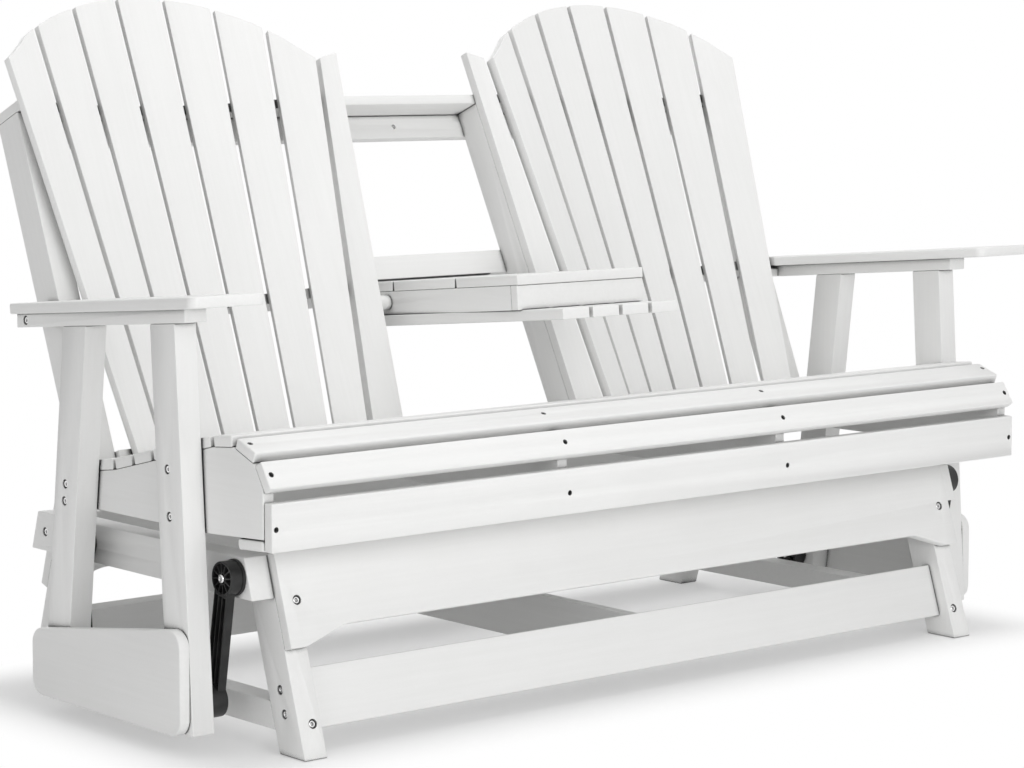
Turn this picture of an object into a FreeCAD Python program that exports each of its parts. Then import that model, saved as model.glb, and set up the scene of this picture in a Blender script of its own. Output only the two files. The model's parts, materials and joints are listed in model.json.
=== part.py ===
import FreeCAD, Part
import Sketcher
import math
import os
import re

# Glider loveseat: a standing base, four hanging links, a seat frame and a folding console.
# Frame: +X along the width, -Y to the front, +Z up, floor at z = 0, millimetres.

doc = FreeCAD.newDocument("GliderLoveseat")
sheet = doc.addObject("Spreadsheet::Sheet", "Sizes")

SIZES = [
    ("leg_face", 680, "outer face of the legs from the middle"),
    ("leg_thick", 38, "leg thickness along X"),
    ("leg_wide", 57, "leg width across its lean"),
    ("leg_lean", 17.6, "lean of the legs, degrees"),
    ("foot_front", 358, "front edge of a foot from the middle"),
    ("base_top", 274, "top of legs and side rails"),
    ("top_rail_low", 216, "underside of the side top rails"),
    ("top_rail_thick", 38, "side top rail thickness"),
    ("arch_thick", 17, "arched rail thickness"),
    ("arch_top", 289, "arched rail top, up the leg slope"),
    ("arch_tab", 153.7, "arched rail tab end, up the leg slope"),
    ("arch_mid", 176.7, "arched rail lower edge in the middle"),
    ("arch_tab_run", 652, "inner end of a tab from the middle"),
    ("arch_mid_run", 583, "start of the straight middle"),
    ("arch_round", 60, "radius of the arch corner"),
    ("tab_round", 26, "radius of the tab corner"),
    ("stretch_low", 43, "stretcher lower edge up the slope"),
    ("stretch_high", 127.5, "stretcher upper edge up the slope"),
    ("stretch_back", 20.6, "stretcher set back from the leg front"),
    ("board_thick", 18, "thickness of boards and stretchers"),
    ("side_bar_low", 32, "side stretcher underside"),
    ("side_bar_high", 71, "side stretcher top"),
    ("centre_low", 33, "centre stretcher underside"),
    ("centre_high", 109, "centre stretcher top"),
    ("rail_face", 718, "outer face of the side top rails"),
    ("pivot_high", 245, "height of the upper link pivots"),
    ("pivot_low", 70.5, "height of the lower link pivots"),
    ("front_hang_y", -250.5, "front upper pivot"),
    ("front_swing_y", -219.5, "front lower pivot"),
    ("rear_hang_y", 131, "rear upper pivot"),
    ("rear_swing_y", 116, "rear lower pivot"),
    ("hub_radius", 24, "link hub radius"),
    ("hub_ring", 21.4, "outer radius of the hub pockets"),
    ("hub_core", 9, "inner radius of the hub pockets"),
    ("hub_depth", 8, "depth of the hub pockets"),
    ("flange_radius", 25.2, "flange of the upper hub beside the rail"),
    ("flange_thick", 4, "flange thickness"),
    ("hub_spokes", 12, "spokes in a hub"),
    ("spoke_share", 2.2, "half angle of a spoke at the ring, degrees"),
    ("hub_gap", 0.4, "gap between a hub and its neighbour"),
    ("high_hub_end", 23, "outer end of the upper hub"),
    ("low_hub_start", 9, "inner end of the lower hub"),
    ("low_hub_end", 35.3, "outer end of the lower hub"),
    ("strap_start", 9, "inner face of the link strap"),
    ("strap_end", 22.5, "outer face of the link strap"),
    ("strap_wide", 30, "link strap width"),
    ("groove_wide", 7.2, "width of a strap groove"),
    ("groove_pitch", 9.2, "spacing of the strap grooves"),
    ("groove_deep", 7, "depth of a strap groove"),
    ("groove_end", 1.5, "distance of a strap groove from the hubs"),
    ("pin_radius", 5, "pivot pin radius"),
    ("pin_fit", 0.05, "running clearance of the pins"),
    ("pin_seat", 0.2, "clearance of a pin in its board"),
    ("open_fit", 1.9, "clearance of the open rear lower pivots"),
    ("pin_head", 6.8, "pin head radius"),
    ("pin_head_high", 3, "pin head height"),
    ("head_seat", 7.6, "radius of the sunk seat of a pin head"),
    ("head_sink", 4, "depth of the sunk seat of a pin head"),
    ("head_gap", 0.4, "gap under a pin head"),
    ("pin_stop", 2, "board left beyond the end of an upper pin"),
    ("post_stop", 6, "board left beyond the hole of a lower pin"),
    ("post_face", 753.7, "inner face of the arm posts"),
    ("post_thick", 36, "arm post thickness"),
    ("post_wide", 60, "arm post width"),
    ("post_foot", 31, "arm post foot height"),
    ("front_post_top", -213.3, "front edge of the front post at its top"),
    ("front_post_foot", -249, "front edge of the front post at its foot"),
    ("rear_post_top", 13, "front edge of the rear post at its top"),
    ("rear_post_foot", 78, "front edge of the rear post at its foot"),
    ("arm_slope", 4.8, "slope of the arms, degrees"),
    ("arm_rear_y", 202, "rear end of the arm rails"),
    ("arm_rear_z", 581, "top of the arm rails at the rear end"),
    ("arm_rail_front", -239, "front end of the arm rails"),
    ("arm_rail_thick", 20, "arm rail thickness"),
    ("arm_thick", 16, "arm board thickness"),
    ("arm_reach", 539, "arm length ahead of the rail end"),
    ("arm_outer_front", 843, "outer edge of the arm at the front"),
    ("arm_outer_rear", 799, "outer edge of the arm at the rear"),
    ("arm_inner_front", 721, "inner edge of the arm at the front"),
    ("arm_inner_rear", 709, "inner edge of the arm at the notch"),
    ("arm_notch", 66, "notch length for the back"),
    ("arm_notch_face", 737, "notch face beside the back post"),
    ("arm_round", 14, "arm front corner radius"),
    ("arm_tail", 4, "arm behind the rail end"),
    ("arm_block_low", 556, "underside of the block between arm rail and back post"),
    ("arm_block_front", 168, "front of the block"),
    ("arm_block_deep", 30, "depth of the block"),
    ("arm_block_high", 22, "height of the block"),
    ("skirt_thick", 17, "skirt thickness"),
    ("skirt_front", -244, "skirt front end"),
    ("skirt_rear", 144, "skirt rear end"),
    ("skirt_low", 30, "skirt underside"),
    ("skirt_high_front", 180.8, "skirt top at the front"),
    ("skirt_high_rear", 125.8, "skirt top at the rear"),
    ("skirt_round", 25, "skirt corner radius"),
    ("slat_half", 752, "half length of the seat boards, just inside the arm posts"),
    ("side_low", 306.5, "seat side board underside"),
    ("side_front", -365, "seat side board front"),
    ("side_rear", 150, "seat side board rear"),
    ("ledge_turn", -232.9, "where the side board underside starts to rise to the front"),
    ("ledge_slope", 3.06, "rise of that underside, degrees"),
    ("support_x", 223, "inner support from the middle"),
    ("support_rear", 48, "inner support rear end"),
    ("seat_rear_y", 52, "rear end of the seat curve"),
    ("seat_rear_z", 362, "height of the seat curve at the rear"),
    ("slat_pitch", 51, "pitch of the seat slats"),
    ("rear_rise", 7.8, "rise of the rear slat, degrees"),
    ("seat_rise", 13.2, "rise of the middle slats, degrees"),
    ("brow_rise", 5, "rise of the front slat, degrees"),
    ("nose_fall", 21, "fall of the nosing, degrees"),
    ("lip_fall", 57.5, "fall of the slope slat, degrees"),
    ("slat_wide", 43, "seat slat width"),
    ("slat_thick", 16, "seat slat thickness"),
    ("nose_wide", 44.5, "nosing width"),
    ("lip_wide", 41, "slope slat width"),
    ("lip_drop", 3, "slope slat top edge from the nosing joint"),
    ("apron_thick", 17, "apron thickness"),
    ("apron_half", 750, "apron half length"),
    ("apron_low", 297.5, "apron lower edge"),
    ("apron_high", 363.7, "apron upper edge"),
    ("ledge_deep", 60.5, "ledge depth"),
    ("ledge_thick", 15.8, "ledge thickness"),
    ("ledge_gap", 1, "gap between the ledge and the boards beside it"),
    ("rear_rail_thick", 18, "rear seat rail thickness"),
    ("rear_rail_high", 344, "rear seat rail top"),
    ("back_lean", 22, "recline of the backs, degrees"),
    ("back_y", 122.55, "rear plane of the back posts at the seat"),
    ("back_z", 306, "lower end of the back posts"),
    ("back_post_face", 733.7, "outer face of the outer back posts"),
    ("back_post_thick", 38, "back post thickness"),
    ("back_post_deep", 60, "outer back post depth"),
    ("cap_low", 589, "cap underside up the back"),
    ("cap_thick", 16, "cap thickness"),
    ("cap_deep", 70, "cap depth"),
    ("upper_rail_low", 549, "upper rail lower edge"),
    ("stop_rail_low", 306, "stop rail lower edge"),
    ("stop_rail_high", 346, "stop rail upper edge"),
    ("stop_rail_run", 197, "stop rail end from the middle"),
    ("contour_low", 270.5, "contour rail underside"),
    ("contour_thick", 17, "contour rail thickness"),
    ("contour_inner", 203.6, "contour rail inner end"),
    ("lower_rail_low", 40, "lower back rail underside"),
    ("inner_top_x", 142.2, "console face of the inner post at the cap"),
    ("inner_foot_x", 180.5, "console face of the inner post at its foot"),
    ("fan_x", 467, "middle of each back"),
    ("fan_radius", 930, "radius of the hollow of each back at the cap"),
    ("fan_back", 35, "back of the middle slat ahead of the post plane"),
    ("fan_low", 34, "lower slat ends up the back"),
    ("fan_high", 800, "upper slat ends before rounding"),
    ("pitch_low", 62.75, "slat pitch at the lower ends"),
    ("pitch_high", 88.5, "slat pitch at the upper ends"),
    ("slat_gap", 7, "gap between back slats"),
    ("back_slat_thick", 17, "back slat thickness"),
    ("slat_seat", 0.9, "gap between a back slat and the hollow"),
    ("hollow_room", 5, "run of the hollow cutter past a rail"),
    ("crown_high", 778.5, "top of the middle slat"),
    ("crown_radius", 408, "radius of the crown"),
    ("crown_room", 150, "room of the crown cutter past the slats"),
    ("inner_slat_out_low", 242.4, "fan edge of the inner slat, lower end"),
    ("inner_slat_out_high", 171, "fan edge of the inner slat, upper end"),
    ("inner_slat_in_low", 182.2, "console edge of the inner slat, lower end"),
    ("inner_slat_in_high", 136, "console edge of the inner slat, upper end"),
    ("inner_slat_valley", 664.5, "inner slat top at the fan edge"),
    ("inner_slat_crest", 674.7, "inner slat top at the console edge"),
    ("console_y", 169.7, "console pivot"),
    ("console_z", 564, "console pivot height"),
    ("console_slope", 5.2, "console slope when down, degrees"),
    ("console_half", 129, "console half width"),
    ("console_front", 324, "console box ahead of the pivot"),
    ("console_rear", 56, "console box behind the pivot"),
    ("console_top", 33.7, "console top above the pivot"),
    ("console_board", 16, "console board thickness"),
    ("console_lip", 2, "console top ahead of its box"),
    ("console_skirt", 38, "console skirt height"),
    ("console_slit", 4, "slit between the console boards"),
    ("front_slit", 174.9, "front slit ahead of the pivot"),
    ("rear_slit", 16.2, "rear slit ahead of the pivot"),
    ("panel_thick", 17, "console slat thickness"),
    ("panel_front", 413.6, "console slats ahead of the pivot"),
    ("panel_rear", 50, "console slats behind the pivot"),
    ("panel_half_front", 121, "console slats half width at the front"),
    ("panel_half_rear", 146, "console slats half width at the rear"),
    ("hinge_radius", 5, "console pin radius"),
    ("hinge_inset", 6, "console pin inside the side skirt"),
    ("hinge_end", 198, "outer end of a console pin from the middle"),
    ("hinge_room", 20, "room of the hinge drill beside a post"),
    ("spacer_gap", 0.5, "gap at the console end of a spacer"),
    ("spacer_stop", 1, "gap at the post end of a spacer"),
    ("spacer_radius", 12, "console spacer radius"),
    ("origin_shift", 0.725, "shift that puts the origin under the middle of the outline"),
]

size = {}
for row, (alias, value, note) in enumerate(SIZES, start=1):
    sheet.set("A%d" % row, note)
    sheet.set("B%d" % row, str(value))
    sheet.setAlias("B%d" % row, alias)
    size[alias] = value
doc.recompute()


def bind(text):
    """Turn the size names in an expression into references to the sheet."""
    def swap(match):
        word = match.group(0)
        return "Sizes." + word if word in size else word
    return re.sub(r"[A-Za-z_]\w*", swap, text)


def cosd(angle):
    return math.cos(math.radians(angle))


def sind(angle):
    return math.sin(math.radians(angle))


def placed(base, axis=(1, 0, 0), angle=0.0):
    return FreeCAD.Placement(FreeCAD.Vector(*base), FreeCAD.Rotation(FreeCAD.Vector(*axis), angle))


HALF_TURN = placed((0, 0, 0), (0, 0, 1), 180)
HOME = placed((0, 0, 0))


def plane_of(body, role):
    for feature in body.Origin.OriginFeatures:
        if feature.Role == role:
            return feature
    raise ValueError(role)


def new_body(label, placement):
    body = doc.addObject("PartDesign::Body", label)
    body.Label = label
    body.Placement = placement
    return body


def new_sketch(body, role, offset):
    sketch = body.newObject("Sketcher::SketchObject", body.Name + "_sketch")
    sketch.AttachmentSupport = [(plane_of(body, role), "")]
    sketch.MapMode = "FlatFace"
    sketch.setExpression("AttachmentOffset.Base.z", bind(offset))
    return sketch


def draw_loop(sketch, corners):
    """A closed outline whose corners are tied to sheet expressions."""
    count = len(corners)
    first = sketch.GeometryCount
    ring = []
    for i in range(count):
        turn = 2 * math.pi * i / count
        ring.append(FreeCAD.Vector(10 * math.cos(turn), 10 * math.sin(turn), 0))
    for i in range(count):
        sketch.addGeometry(Part.LineSegment(ring[i], ring[(i + 1) % count]))
    for i in range(count):
        following = first + (i + 1) % count
        sketch.addConstraint(Sketcher.Constraint("Coincident", first + i, 2, following, 1))
    for i, (across, along) in enumerate(corners):
        for kind, start, text in (("DistanceX", ring[i].x, across), ("DistanceY", ring[i].y, along)):
            index = sketch.addConstraint(Sketcher.Constraint(kind, first + i, 1, start))
            sketch.setExpression("Constraints[%d]" % index, bind(text))


def draw_circle(sketch, across, along, radius):
    index = sketch.addGeometry(Part.Circle(FreeCAD.Vector(1, 1, 0), FreeCAD.Vector(0, 0, 1), 5))
    for kind, text in (("DistanceX", across), ("DistanceY", along)):
        number = sketch.addConstraint(Sketcher.Constraint(kind, index, 3, 1.0))
        sketch.setExpression("Constraints[%d]" % number, bind(text))
    number = sketch.addConstraint(Sketcher.Constraint("Radius", index, 5.0))
    sketch.setExpression("Constraints[%d]" % number, bind(radius))


def pad(body, sketch, length, reverse=False):
    feature = body.newObject("PartDesign::Pad", body.Name + "_pad")
    feature.Profile = sketch
    feature.setExpression("Length", bind(length))
    feature.Reversed = reverse
    return feature


def pocket(body, sketch, length, reverse=False):
    feature = body.newObject("PartDesign::Pocket", body.Name + "_pocket")
    feature.Profile = sketch
    feature.setExpression("Length", bind(length))
    feature.Reversed = reverse
    sketch.Visibility = False
    return feature


def board(label, role, offset, corners, length, placement=HOME, reverse=False):
    """A board: one outline on a plane of its own body, raised to a thickness."""
    body = new_body(label, placement)
    sketch = new_sketch(body, role, offset)
    draw_loop(sketch, corners)
    pad(body, sketch, length, reverse)
    return body


def round_corners(body, numbers, radius):
    """Fillet the edges that rise from the numbered corners of the first outline."""
    doc.recompute()
    base = body.Tip
    sketch = next(item for item in body.Group if item.TypeId == "Sketcher::SketchObject")
    normal = sketch.Placement.Rotation.multVec(FreeCAD.Vector(0, 0, 1))
    names = []
    for number in numbers:
        corner = sketch.Placement.multVec(sketch.Geometry[number].StartPoint)
        for index, edge in enumerate(base.Shape.Edges, start=1):
            ends = [vertex.Point - corner for vertex in edge.Vertexes]
            flat = [end - normal * end.dot(normal) for end in ends]
            if len(flat) == 2 and max(part.Length for part in flat) < 1e-4:
                names.append("Edge%d" % index)
    feature = body.newObject("PartDesign::Fillet", body.Name + "_round")
    feature.Base = (base, names)
    feature.setExpression("Radius", bind(radius))
    return feature


def drill(body, role, offset, spots, radius, length, reverse=False):
    sketch = new_sketch(body, role, offset)
    for across, along in spots:
        draw_circle(sketch, across, along, radius)
    return pocket(body, sketch, length, reverse)


def box(label, origin, spans, placement=HOME):
    """A plain board as a box with sizes from the sheet."""
    item = doc.addObject("Part::Box", label)
    item.Label = label
    for name, text in zip(("Length", "Width", "Height"), spans):
        item.setExpression(name, bind(text))
    item.Placement = placement * placed(origin)
    return item


def group(label, items):
    item = doc.addObject("Part::Compound", label)
    item.Label = label
    item.Links = items
    return item


nodes = []


def keep(*items):
    nodes.extend(items)


# Standing base

LEAN = size["leg_lean"]
SLOPE = placed((0, -size["foot_front"], 0), (1, 0, 0), 90 - LEAN)
LEG = [
    ("0", "0"),
    ("leg_wide * tan(leg_lean)", "-leg_wide"),
    ("base_top / cos(leg_lean) + leg_wide * tan(leg_lean)", "-leg_wide"),
    ("base_top / cos(leg_lean)", "0"),
]


def leg_start(side):
    return "leg_face - leg_thick" if side > 0 else "-leg_face"


for label, side, turn in (("front_left_leg", -1, HOME), ("front_right_leg", 1, HOME),
                          ("rear_left_leg", 1, HALF_TURN), ("rear_right_leg", -1, HALF_TURN)):
    keep(board(label, "YZ_Plane", leg_start(side), LEG, "leg_thick", turn * SLOPE))

ARCH = [
    ("-leg_face", "arch_tab"),
    ("-arch_tab_run", "arch_tab"),
    ("-arch_mid_run", "arch_mid"),
    ("arch_mid_run", "arch_mid"),
    ("arch_tab_run", "arch_tab"),
    ("leg_face", "arch_tab"),
    ("leg_face", "arch_top"),
    ("-leg_face", "arch_top"),
]
STRETCHER = [
    ("-leg_face + leg_thick", "stretch_low"),
    ("leg_face - leg_thick", "stretch_low"),
    ("leg_face - leg_thick", "stretch_high"),
    ("-leg_face + leg_thick", "stretch_high"),
]
for name, turn in (("front", HOME), ("rear", HALF_TURN)):
    arch = board(name + "_arched_rail", "XY_Plane", "0", ARCH, "arch_thick", turn * SLOPE)
    round_corners(arch, (1, 4), "tab_round")
    round_corners(arch, (2, 3), "arch_round")
    bar = board(name + "_stretcher", "XY_Plane", "-stretch_back", STRETCHER, "board_thick",
                turn * SLOPE, True)
    keep(arch, bar)


def leg_line(height, inset="0"):
    return "foot_front - (%s) - (%s) * tan(leg_lean)" % (inset, height)


BAR_INSET = "leg_wide / cos(leg_lean)"
TOP_RAIL = [
    ("-(" + leg_line("top_rail_low") + ")", "top_rail_low"),
    (leg_line("top_rail_low"), "top_rail_low"),
    (leg_line("base_top"), "base_top"),
    ("-(" + leg_line("base_top") + ")", "base_top"),
]
SIDE_BAR = [
    ("-(" + leg_line("side_bar_low", BAR_INSET) + ")", "side_bar_low"),
    (leg_line("side_bar_low", BAR_INSET), "side_bar_low"),
    (leg_line("side_bar_high", BAR_INSET), "side_bar_high"),
    ("-(" + leg_line("side_bar_high", BAR_INSET) + ")", "side_bar_high"),
]
side_bars = []
HANGS = [("front_hang_y", "pivot_high"), ("rear_hang_y", "pivot_high")]
for name, side in (("left", -1), ("right", 1)):
    start = "leg_face" if side > 0 else "-rail_face"
    rail = board(name + "_top_rail", "YZ_Plane", start, TOP_RAIL, "top_rail_thick")
    drill(rail, "YZ_Plane", "rail_face" if side > 0 else "-rail_face", HANGS,
          "pin_radius + pin_seat", "top_rail_thick", side < 0)
    side_bars.append(board(name + "_side_stretcher", "YZ_Plane", leg_start(side), SIDE_BAR, "leg_thick"))
    keep(rail)
keep(group("side_stretchers", side_bars))

CENTRE_INSET = "(stretch_back + board_thick) / cos(leg_lean)"
CENTRE = [
    ("-(" + leg_line("centre_low", CENTRE_INSET) + ")", "centre_low"),
    (leg_line("centre_low", CENTRE_INSET), "centre_low"),
    (leg_line("centre_high", CENTRE_INSET), "centre_high"),
    ("-(" + leg_line("centre_high", CENTRE_INSET) + ")", "centre_high"),
]
keep(board("centre_stretcher", "YZ_Plane", "-board_thick / 2", CENTRE, "board_thick"))

# Glide links

RISE = size["pivot_high"] - size["pivot_low"]


def link(label, side, hang, swing, low_fit):
    """One ribbed link: strap, two spoked hubs and their bores, hung from its upper pivot."""
    lean = math.degrees(math.atan2(size[swing] - size[hang], RISE))
    place = placed((side * size["rail_face"], size[hang], size["pivot_high"]), (1, 0, 0), lean)
    if side < 0:
        place = place * HALF_TURN
    reach = "sqrt((%s - %s)^2 + (pivot_high - pivot_low)^2)" % (swing, hang)
    body = new_body(label, place)
    strap = new_sketch(body, "YZ_Plane", "strap_start")
    draw_loop(strap, [("-strap_wide / 2", "0"), ("strap_wide / 2", "0"),
                      ("strap_wide / 2", "-" + reach), ("-strap_wide / 2", "-" + reach)])
    pad(body, strap, "strap_end - strap_start")
    for centre, start, end in (("0", "hub_gap", "high_hub_end"),
                               ("-" + reach, "low_hub_start", "low_hub_end")):
        hub = new_sketch(body, "YZ_Plane", start)
        draw_circle(hub, "0", centre, "hub_radius")
        pad(body, hub, end + " - " + start)
    flange = new_sketch(body, "YZ_Plane", "hub_gap")
    draw_circle(flange, "0", "0", "flange_radius")
    pad(body, flange, "flange_thick")
    grooves = new_sketch(body, "YZ_Plane", "strap_end")
    high = "-hub_radius - groove_end"
    low = "hub_radius + groove_end - " + reach
    for step in (-1, 0, 1):
        left = "%d * groove_pitch - groove_wide / 2" % step
        right = "%d * groove_pitch + groove_wide / 2" % step
        draw_loop(grooves, [(left, high), (right, high), (right, low), (left, low)])
    pocket(body, grooves, "groove_deep")
    for centre, face, reverse in (("0", "high_hub_end", False), ("-" + reach, "low_hub_start", True)):
        spokes = new_sketch(body, "YZ_Plane", face)
        for step in range(size["hub_spokes"]):
            corners = []
            for radius, half in (("hub_core", "-"), ("hub_ring", "-"), ("hub_ring", "+"), ("hub_core", "+")):
                share = "spoke_share * hub_ring / %s" % radius
                angle = "(%d * 360 / hub_spokes %s (180 / hub_spokes - %s))" % (step, half, share)
                corners.append(("%s * cos(%s)" % (radius, angle),
                                "%s + %s * sin(%s)" % (centre, radius, angle)))
            draw_loop(spokes, corners)
        pocket(body, spokes, "hub_depth", reverse)
    drill(body, "YZ_Plane", "high_hub_end", [("0", "0")], "pin_radius + pin_fit", "high_hub_end")
    drill(body, "YZ_Plane", "high_hub_end", [("0", "0")], "head_seat", "head_sink")
    drill(body, "YZ_Plane", "low_hub_end", [("0", "-" + reach)], "pin_radius + " + low_fit, "low_hub_end")
    return body


for name, side in (("left", -1), ("right", 1)):
    keep(link("front_%s_link" % name, side, "front_hang_y", "front_swing_y", "pin_fit"))
    keep(link("rear_%s_link" % name, side, "rear_hang_y", "rear_swing_y", "open_fit"))

# Arm frames


def arm_under(along):
    return "arm_rear_z + (arm_rear_y - (%s)) * tan(arm_slope) - arm_rail_thick / cos(arm_slope)" % along


def arm_post(top, foot):
    far = top + " + post_wide"
    return [(top, arm_under(top)), (far, arm_under(far)),
            (foot + " + post_wide", "post_foot"), (foot, "post_foot")]


SKIRT = [
    ("skirt_front", "skirt_low"),
    ("skirt_rear", "skirt_low"),
    ("skirt_rear", "skirt_high_rear"),
    ("skirt_front", "skirt_high_front"),
]
ARM_RAIL = [
    ("arm_rail_front", arm_under("arm_rail_front")),
    ("arm_rear_y", arm_under("arm_rear_y")),
    ("arm_rear_y", "arm_rear_z"),
    ("arm_rail_front", "arm_rear_z + (arm_rear_y - arm_rail_front) * tan(arm_slope)"),
]
ARM_PLACE = placed((0, size["arm_rear_y"], size["arm_rear_z"]), (1, 0, 0), -size["arm_slope"])
arm_spacers = []
for name, side in (("left", -1), ("right", 1)):
    start = "post_face" if side > 0 else "-post_face - post_thick"
    for end in ("front", "rear"):
        body = board("%s_%s_arm_post" % (end, name), "YZ_Plane", start,
                     arm_post(end + "_post_top", end + "_post_foot"), "post_thick")
        inner = "post_face" if side > 0 else "-post_face"
        drill(body, "YZ_Plane", inner, [(end + "_swing_y", "pivot_low")], "pin_radius + pin_seat",
              "post_thick - post_stop", side > 0)
        keep(body)
    keep(board(name + "_arm_rail", "YZ_Plane", start, ARM_RAIL, "post_thick"))
    start = "post_face + post_thick" if side > 0 else "-post_face - post_thick - skirt_thick"
    skirt = board(name + "_skirt", "YZ_Plane", start, SKIRT, "skirt_thick")
    round_corners(skirt, (0, 1, 2, 3), "skirt_round")
    keep(skirt)
    mark = "" if side > 0 else "-"
    outline = [
        (mark + "arm_inner_front", "-arm_reach"),
        (mark + "arm_outer_front", "-arm_reach"),
        (mark + "arm_outer_rear", "arm_tail"),
        (mark + "arm_notch_face", "arm_tail"),
        (mark + "arm_notch_face", "-arm_notch"),
        (mark + "arm_inner_rear", "-arm_notch"),
    ]
    arm = board(name + "_arm", "XY_Plane", "0", outline, "arm_thick", ARM_PLACE)
    round_corners(arm, (0, 1), "arm_round")
    keep(arm)
    place = size["back_post_face"] if side > 0 else -size["post_face"]
    arm_spacers.append(box(name + "_arm_spacer", (place, size["arm_block_front"], size["arm_block_low"]),
                           ("post_face - back_post_face", "arm_block_deep", "arm_block_high")))
keep(group("arm_spacers", arm_spacers))

# Seat

SEAT_1 = ("seat_rear_y - slat_pitch * cos(rear_rise)", "seat_rear_z + slat_pitch * sin(rear_rise)")
SEAT_6 = (SEAT_1[0] + " - 5 * slat_pitch * cos(seat_rise)", SEAT_1[1] + " + 5 * slat_pitch * sin(seat_rise)")
SEAT_7 = (SEAT_6[0] + " - slat_pitch * cos(brow_rise)", SEAT_6[1] + " + slat_pitch * sin(brow_rise)")
SEAT_8 = (SEAT_7[0] + " - slat_pitch * cos(nose_fall)", SEAT_7[1] + " - slat_pitch * sin(nose_fall)")
LIP_Z = "%s - (%s - side_front) * tan(lip_fall)" % (SEAT_8[1], SEAT_8[0])
LEDGE_Z = "side_low + (ledge_turn - side_front) * tan(ledge_slope)"
SEAT_CURVE = [("ledge_turn", "side_low"), ("side_front", LEDGE_Z), ("side_front", LIP_Z),
              SEAT_8, SEAT_7, SEAT_6, SEAT_1]
SIDE = SEAT_CURVE + [("seat_rear_y", "seat_rear_z"), ("side_rear", "seat_rear_z"), ("side_rear", "side_low")]
SUPPORT = SEAT_CURVE + [("support_rear", "seat_rear_z + (seat_rear_y - support_rear) * tan(rear_rise)"),
                        ("support_rear", "side_low")]
supports = []
for name, side in (("left", -1), ("right", 1)):
    start = "back_post_face" if side > 0 else "-slat_half"
    keep(board(name + "_side_board", "YZ_Plane", start, SIDE, "slat_half - back_post_face"))
    start = "support_x - board_thick / 2" if side > 0 else "-support_x - board_thick / 2"
    supports.append(board(name + "_seat_support", "YZ_Plane", start, SUPPORT, "board_thick"))
keep(group("seat_supports", supports))

PITCH = size["slat_pitch"]


def slat_row(label, y, z, rise, wide, margin):
    """A board across the seat on one straight of the seat curve, a margin away from its start."""
    place = placed((0, y, z), (1, 0, 0), -rise)
    corner = (-size["slat_half"], -size[wide] - margin, 0)
    return box(label, corner, ("2 * slat_half", wide, "slat_thick"), place)


def centred(wide):
    return (PITCH - size[wide]) / 2


y = size["seat_rear_y"]
z = size["seat_rear_z"]
rises = [size["rear_rise"]] + [size["seat_rise"]] * 5 + [size["brow_rise"]]
seat_slats = []
for number, rise in enumerate(rises, start=1):
    seat_slats.append(slat_row("seat_slat_%d" % number, y, z, rise, "slat_wide", centred("slat_wide")))
    y -= PITCH * cosd(rise)
    z += PITCH * sind(rise)
keep(group("seat_slats", seat_slats))
keep(slat_row("nosing_slat", y, z, -size["nose_fall"], "nose_wide", centred("nose_wide")))
y -= PITCH * cosd(size["nose_fall"])
z -= PITCH * sind(size["nose_fall"])
keep(slat_row("slope_slat", y, z, -size["lip_fall"], "lip_wide", size["lip_drop"]))
keep(box("apron", (-size["apron_half"], size["side_front"] - size["apron_thick"], size["apron_low"]),
         ("2 * apron_half", "apron_thick", "apron_high - apron_low")))
ledge_slope = size["ledge_slope"]
ledge_rise = (size["ledge_turn"] - size["side_front"]) * sind(ledge_slope) / cosd(ledge_slope)
ledge_corner = (-size["slat_half"], size["side_front"], size["side_low"] + ledge_rise)
LEDGE = placed(ledge_corner, (1, 0, 0), -ledge_slope)
keep(box("ledge_board", (0, size["ledge_gap"], -size["ledge_gap"] - size["ledge_thick"]),
         ("2 * slat_half", "ledge_deep", "ledge_thick"), LEDGE))
keep(box("rear_seat_rail", (-size["back_post_face"], size["support_rear"], size["side_low"]),
         ("2 * back_post_face", "rear_rail_thick", "rear_rail_high - side_low")))

# Backs: local x along the width, y up the recline, z to the front

BACK = placed((0, size["back_y"], size["back_z"]), (1, 0, 0), 90 - size["back_lean"])
for name, mark in (("left", "-"), ("right", "")):
    near = mark + "(back_post_face - back_post_thick)"
    far = mark + "back_post_face"
    keep(board(name + "_outer_back_post", "XY_Plane", "0",
               [(near, "0"), (far, "0"), (far, "cap_low"), (near, "cap_low")], "back_post_deep", BACK))
    foot = "lower_rail_low + contour_thick"
    inner = board(name + "_inner_back_post", "XY_Plane", "board_thick",
                  [(mark + "inner_foot_x", foot), (mark + "(inner_foot_x + back_post_thick)", foot),
                   (mark + "(inner_top_x + back_post_thick)", "cap_low"), (mark + "inner_top_x", "cap_low")],
                  "cap_deep - board_thick", BACK)
    keep(inner)

HINGE_UP = "(console_y - back_y) * sin(back_lean) + (console_z - back_z) * cos(back_lean)"
HINGE_OUT = "(console_z - back_z) * sin(back_lean) - (console_y - back_y) * cos(back_lean)"
HINGE_RUN = "inner_foot_x - inner_top_x + back_post_thick + 2 * hinge_room"
for name, mark, reverse in (("left", "-", True), ("right", "", False)):
    body = doc.getObject(name + "_inner_back_post")
    drill(body, "YZ_Plane", mark + "(inner_foot_x + back_post_thick + hinge_room)", [(HINGE_UP, HINGE_OUT)],
          "hinge_radius + pin_seat", HINGE_RUN, reverse)


def plate(label, left, right, low, thick, deep):
    """A board that lies across the back, seen from above in its own plane."""
    return board(label, "XZ_Plane", "-(%s)" % low,
                 [(left, "0"), (right, "0"), (right, deep), (left, deep)], thick, BACK, True)


def hollow(body, middle, low, thick, radius):
    """Scoop the front of a plate to the curve that the fan of slats lies on."""
    sketch = new_sketch(body, "XZ_Plane", "hollow_room - (%s)" % low)
    draw_circle(sketch, middle, "fan_back + %s" % radius, radius)
    return pocket(body, sketch, thick + " + 2 * hollow_room")


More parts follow.
